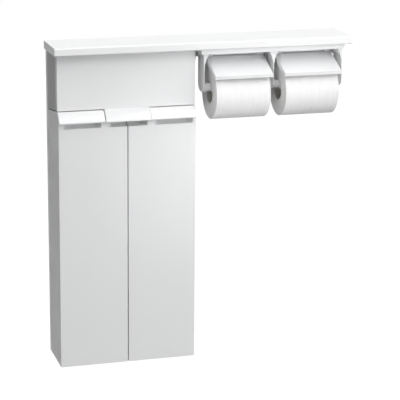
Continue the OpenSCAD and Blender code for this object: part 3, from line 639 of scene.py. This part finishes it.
for side, seed in (("left", 4), ("right", 9)):
    roll = paper_roll(side, seed)
    print(roll.name, "faces:", len(roll.data.polygons))

# %% [markdown]
# ## The cardboard cores
# A core is a strip of cardboard wound in a helix, and the joint between its turns shows inside as
# a shallow groove that climbs round the tube. A dark line in the finish would look painted on, so
# the groove is real. The tube is swept as the rolls are, and each inner point that lies near the
# helix sinks into the wall.

# %% Make the two cores
CORE_WALL = 1.2 * MM
CORE_GAP = 0.02 * MM             # between the core and the paper round it
CORE_BEVEL = 0.15 * MM           # on the inner edges
CORE_STATIONS = 110
CORE_COLUMNS = 120
HELIX_PITCH = 62 * MM
GROOVE_DEPTH = 0.35 * MM
GROOVE_WIDTH = 0.9 * MM


def cardboard_core(side):
    low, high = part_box("core_" + side)
    r_out = core_radius - CORE_GAP
    r_in = core_radius - CORE_WALL
    ends = (0, CORE_STATIONS)
    inside = [(high.x - (high.x - low.x) * i / CORE_STATIONS,
               r_in + (CORE_BEVEL if i in ends else 0.0)) for i in range(CORE_STATIONS + 1)]
    outside = [(low.x, r_out), (high.x, r_out)]
    angles = [math.tau * i / CORE_COLUMNS for i in range(CORE_COLUMNS)]

    def point_at(station, angle):
        x, r = station
        if r < r_out - CORE_WALL / 2 and low.x < x < high.x:
            turn = ((x - low.x) / HELIX_PITCH - angle / math.tau) % 1.0
            away = min(turn, 1 - turn) * HELIX_PITCH
            r += GROOVE_DEPTH * math.exp(-(away / GROOVE_WIDTH) ** 2)
        return round_axis(x, r, angle)

    mesh = swept_ring("cardboard_core_" + side, inside + outside, angles, point_at)
    return add_piece("cardboard_core_" + side, mesh, side + "_roll", "core_cardboard",
                     "core_" + side)


for side in ("left", "right"):
    core = cardboard_core(side)
    print(core.name, "faces:", len(core.data.polygons))

# %% [markdown]
# ## A screw, turned on a lathe
# Pan-head screws hold the roll holder's housing under the shelf, and whoever looks up at them sees
# a low dome. A screw is made on a lathe, and the same idea draws it: half of its outline, turned
# round its own axis. The thread is hidden in the board, so the shank stays smooth.

# %% Turn a screw
HEAD_R = 3.95 * MM
DOME_H = 1.5 * MM
HEAD_H = 2.5 * MM
SHANK_R = 1.98 * MM
SHANK_END = 16.3 * MM            # all heights run from the top of the head
TIP_END = 16.45 * MM
SCREW_SIDES = 48
DOME_ANGLES = range(15, 91, 15)  # degrees from the top of the dome to its rim


def ring_of_points(made, radius, z):
    """A ring of points round Z, or a single one where the radius is zero."""
    if radius == 0:
        return [made.verts.new((0, 0, z))]
    turns = [math.tau * i / SCREW_SIDES for i in range(SCREW_SIDES)]
    return [made.verts.new((radius * math.cos(a), radius * math.sin(a), z)) for a in turns]


def turned_screw():
    """A screw without its recess, its head's top at z = 0 and its shank towards +Z."""
    dome = [(HEAD_R * math.sin(math.radians(a)), DOME_H * (1 - math.cos(math.radians(a))))
            for a in DOME_ANGLES]
    outline = [(0, 0)] + dome + [(HEAD_R, HEAD_H), (SHANK_R, HEAD_H), (SHANK_R, SHANK_END),
                                 (0, TIP_END)]
    made = bmesh.new()
    rings = [ring_of_points(made, radius, z) for radius, z in outline]
    for a, b in zip(rings, rings[1:]):
        for i in range(SCREW_SIDES):
            j = (i + 1) % SCREW_SIDES
            corners = [a[i % len(a)], a[j % len(a)], b[j % len(b)], b[i % len(b)]]
            made.faces.new(list(dict.fromkeys(corners)))
    return finished_mesh("turned_screw", made)


print("screw length, mm:", round(TIP_END / MM, 2))

# %% [markdown]
# ## The cross recess
# The recess is what makes a screw look like one. It could be a dark cross in the finish, but a
# real one has walls that narrow towards the bottom. Two crossed wedges have that form, and two
# Boolean modifiers cut them out of the head. The result is read once into a plain mesh, so the
# finished piece needs no modifiers, and the wedges can go.

# %% Cut the recess
RECESS = ((-0.3 * MM, 2.2 * MM, 0.6 * MM),     # height, half length and half width of a wedge,
          (1.7 * MM, 1.0 * MM, 0.32 * MM))     # from just outside the head to its bottom


def cross_wedge(turn):
    """One wedge, turned round Z."""
    c, s = math.cos(turn), math.sin(turn)
    made = bmesh.new()
    rings = [[made.verts.new((x * c - y * s, x * s + y * c, z))
              for x, y in ((-length, -width), (length, -width), (length, width), (-length, width))]
             for z, length, width in RECESS]
    for i in range(4):
        j = (i + 1) % 4
        made.faces.new((rings[0][i], rings[0][j], rings[1][j], rings[1][i]))
    made.faces.new(rings[0])
    made.faces.new(rings[1])
    return bpy.data.objects.new("cross_wedge", finished_mesh("cross_wedge", made))


def cross_screw_mesh():
    """The mesh of one screw with its recess."""
    screw = bpy.data.objects.new("turned_screw", turned_screw())
    wedges = [cross_wedge(0.0), cross_wedge(math.pi / 2)]
    for helper in [screw] + wedges:
        bpy.context.scene.collection.objects.link(helper)
    for wedge in wedges:
        cut = screw.modifiers.new("recess", "BOOLEAN")
        cut.operation = "DIFFERENCE"
        cut.object = wedge
    bpy.context.view_layer.update()
    evaluated = screw.evaluated_get(bpy.context.evaluated_depsgraph_get())
    mesh = bpy.data.meshes.new_from_object(evaluated)
    for helper in [screw] + wedges:
        bpy.data.objects.remove(helper)
    return mesh


one_screw = cross_screw_mesh()
print("faces of one screw:", len(one_screw.polygons))

# %% [markdown]
# ## The shelf's four screws
# In the CAD the four screws are one part with plain heads, one screw at each corner of its box. So
# the corners say where ours go. The four are joined into one piece, because the part they stand
# for is one. Nobody lines up the recesses of screws, so each is turned by an angle of its own.

# %% Put the screws where the CAD has them
CAD_HEAD_R = 4 * MM              # so each screw stands this far inside its corner of the box
TURN_PER_X, TURN_PER_Y = 40, 90  # radians per metre, which gives four unlike turns


def shelf_screws():
    low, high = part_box("shelf_screws")
    made = bmesh.new()
    for x in (low.x + CAD_HEAD_R, high.x - CAD_HEAD_R):
        for y in (low.y + CAD_HEAD_R, high.y - CAD_HEAD_R):
            before = len(made.verts)
            made.from_mesh(one_screw)
            made.verts.ensure_lookup_table()
            fresh = made.verts[before:]
            turn = Matrix.Rotation(x * TURN_PER_X + y * TURN_PER_Y, 3, "Z")
            bmesh.ops.rotate(made, verts=fresh, cent=(0, 0, 0), matrix=turn)
            bmesh.ops.translate(made, verts=fresh, vec=(x, y, low.z))
    mesh = bpy.data.meshes.new("pan_head_screws")
    made.to_mesh(mesh)
    made.free()
    return add_piece("pan_head_screws", mesh, "root", "steel", "shelf_screws")


print("faces of the four screws:", len(shelf_screws().data.polygons))

# %% [markdown]
# ## White surroundings and a floor
# The picture's background is pure white. Stronger lamps would whiten it too, but they would bleach
# the object. So floor and world look white only to the rays that make the picture: Light Path
# tells a camera ray from the light's own rays. Glossy and transmission rays see the same white, so
# reflections match what surrounds the object. All other rays meet a darker floor and a dim world.
#
# The cabinet hangs on a wall, so the floor lies well below it. It could be left out, but then
# nothing would take the object's shadow: its own grey adds a little of the lamps' light to the
# white, and less where the object shades it.

# %% Floor
FLOOR_Z = -1.15
FLOOR_HALF = 9.0
FLOOR_CELLS = 24                 # the floor is a grid of this many squares each way
FLOOR_WHITE = 0.96


def seen_rays(tree):
    """1 for rays from the camera, from gloss and through glass, and 0 for the light's own."""
    path = tree.nodes.new("ShaderNodeLightPath")
    direct = calculate(tree, "MAXIMUM", path.outputs["Is Camera Ray"],
                       path.outputs["Is Glossy Ray"])
    return calculate(tree, "MAXIMUM", direct, path.outputs["Is Transmission Ray"])


def studio_floor():
    made = bmesh.new()
    bmesh.ops.create_grid(made, x_segments=FLOOR_CELLS, y_segments=FLOOR_CELLS, size=FLOOR_HALF)
    bmesh.ops.translate(made, verts=made.verts, vec=(0, 0, FLOOR_Z))
    mesh = bpy.data.meshes.new("studio_floor")
    made.to_mesh(mesh)
    made.free()
    floor = bpy.data.objects.new("studio_floor", mesh)
    bpy.context.scene.collection.objects.link(floor)
    tree, shader = new_finish("studio_floor", {
        "Base Color": (0.18, 0.18, 0.18), "Roughness": 0.9, "Emission Color": (1, 1, 1)})
    feed(tree, shader.inputs["Emission Strength"],
         calculate(tree, "MULTIPLY", seen_rays(tree), FLOOR_WHITE))
    mesh.materials.append(finishes["studio_floor"])


studio_floor()

# %% [markdown]
# ## The world
# A world that lights evenly from all sides fills the shadows, as the walls of a studio do. Too
# much of it makes everything flat, so it is dim for the light's own rays and white for the rays
# that are seen.

# %% World
WORLD_LIGHT = 0.19


def studio_world():
    world = bpy.data.worlds.new("studio_world")
    world.use_nodes = True
    tree = world.node_tree
    background = tree.nodes["Background"]
    feed(tree, background.inputs["Color"], (1, 1, 1))
    feed(tree, background.inputs["Strength"],
         map_range(tree, seen_rays(tree), (0.0, 1.0), (WORLD_LIGHT, 1.0)))
    bpy.context.scene.world = world
    return world


print("world:", studio_world().name, "light:", WORLD_LIGHT)

# %% [markdown]
# ## The lamps
# Large lamps give soft shadows, and their places give the cabinet its form. Most light comes from
# above and from the right, so the left side falls into shade, and the shelf's shadow darkens the
# tops of the covers. A weak lamp on the left keeps that shade from turning black, and one from
# below on the right does the same for the undersides. One lamp behind brightens the shelf's top. A
# small one with a narrow beam lifts the rolls' ends and the arms, where a large one would have
# bleached the paper.

# %% Lamps
OBJECT_MIDDLE = (0.1, -0.1, 0.1)


def softbox(name, place, size, power, target=OBJECT_MIDDLE, spread=180):
    """A square lamp that looks at its target; spread is its beam in degrees."""
    lamp = bpy.data.lights.new(name, "AREA")
    lamp.shape = "SQUARE"
    lamp.size = size
    lamp.energy = power
    lamp.spread = math.radians(spread)
    box = bpy.data.objects.new(name, lamp)
    box.location = place
    box.rotation_euler = (Vector(target) - Vector(place)).to_track_quat("-Z", "Y").to_euler()
    bpy.context.scene.collection.objects.link(box)


softbox("top_softbox", place=(0.2, -2.0, 2.8), size=3.2, power=58)
softbox("right_softbox", place=(2.6, -2.6, 0.9), size=3.0, power=80)
softbox("left_softbox", place=(-2.4, -2.6, 1.6), size=1.2, power=7)
softbox("low_softbox", place=(1.6, -2.6, -0.6), size=1.2, power=2)
softbox("shelf_softbox", place=(0.2, 0.25, 2.4), size=1.6, power=15, target=(0.15, -0.05, 0.3))
softbox("roll_softbox", place=(-0.18, -0.82, -0.2), size=0.3, power=0.11,
        target=(0.3, -0.1, 0.2), spread=36)
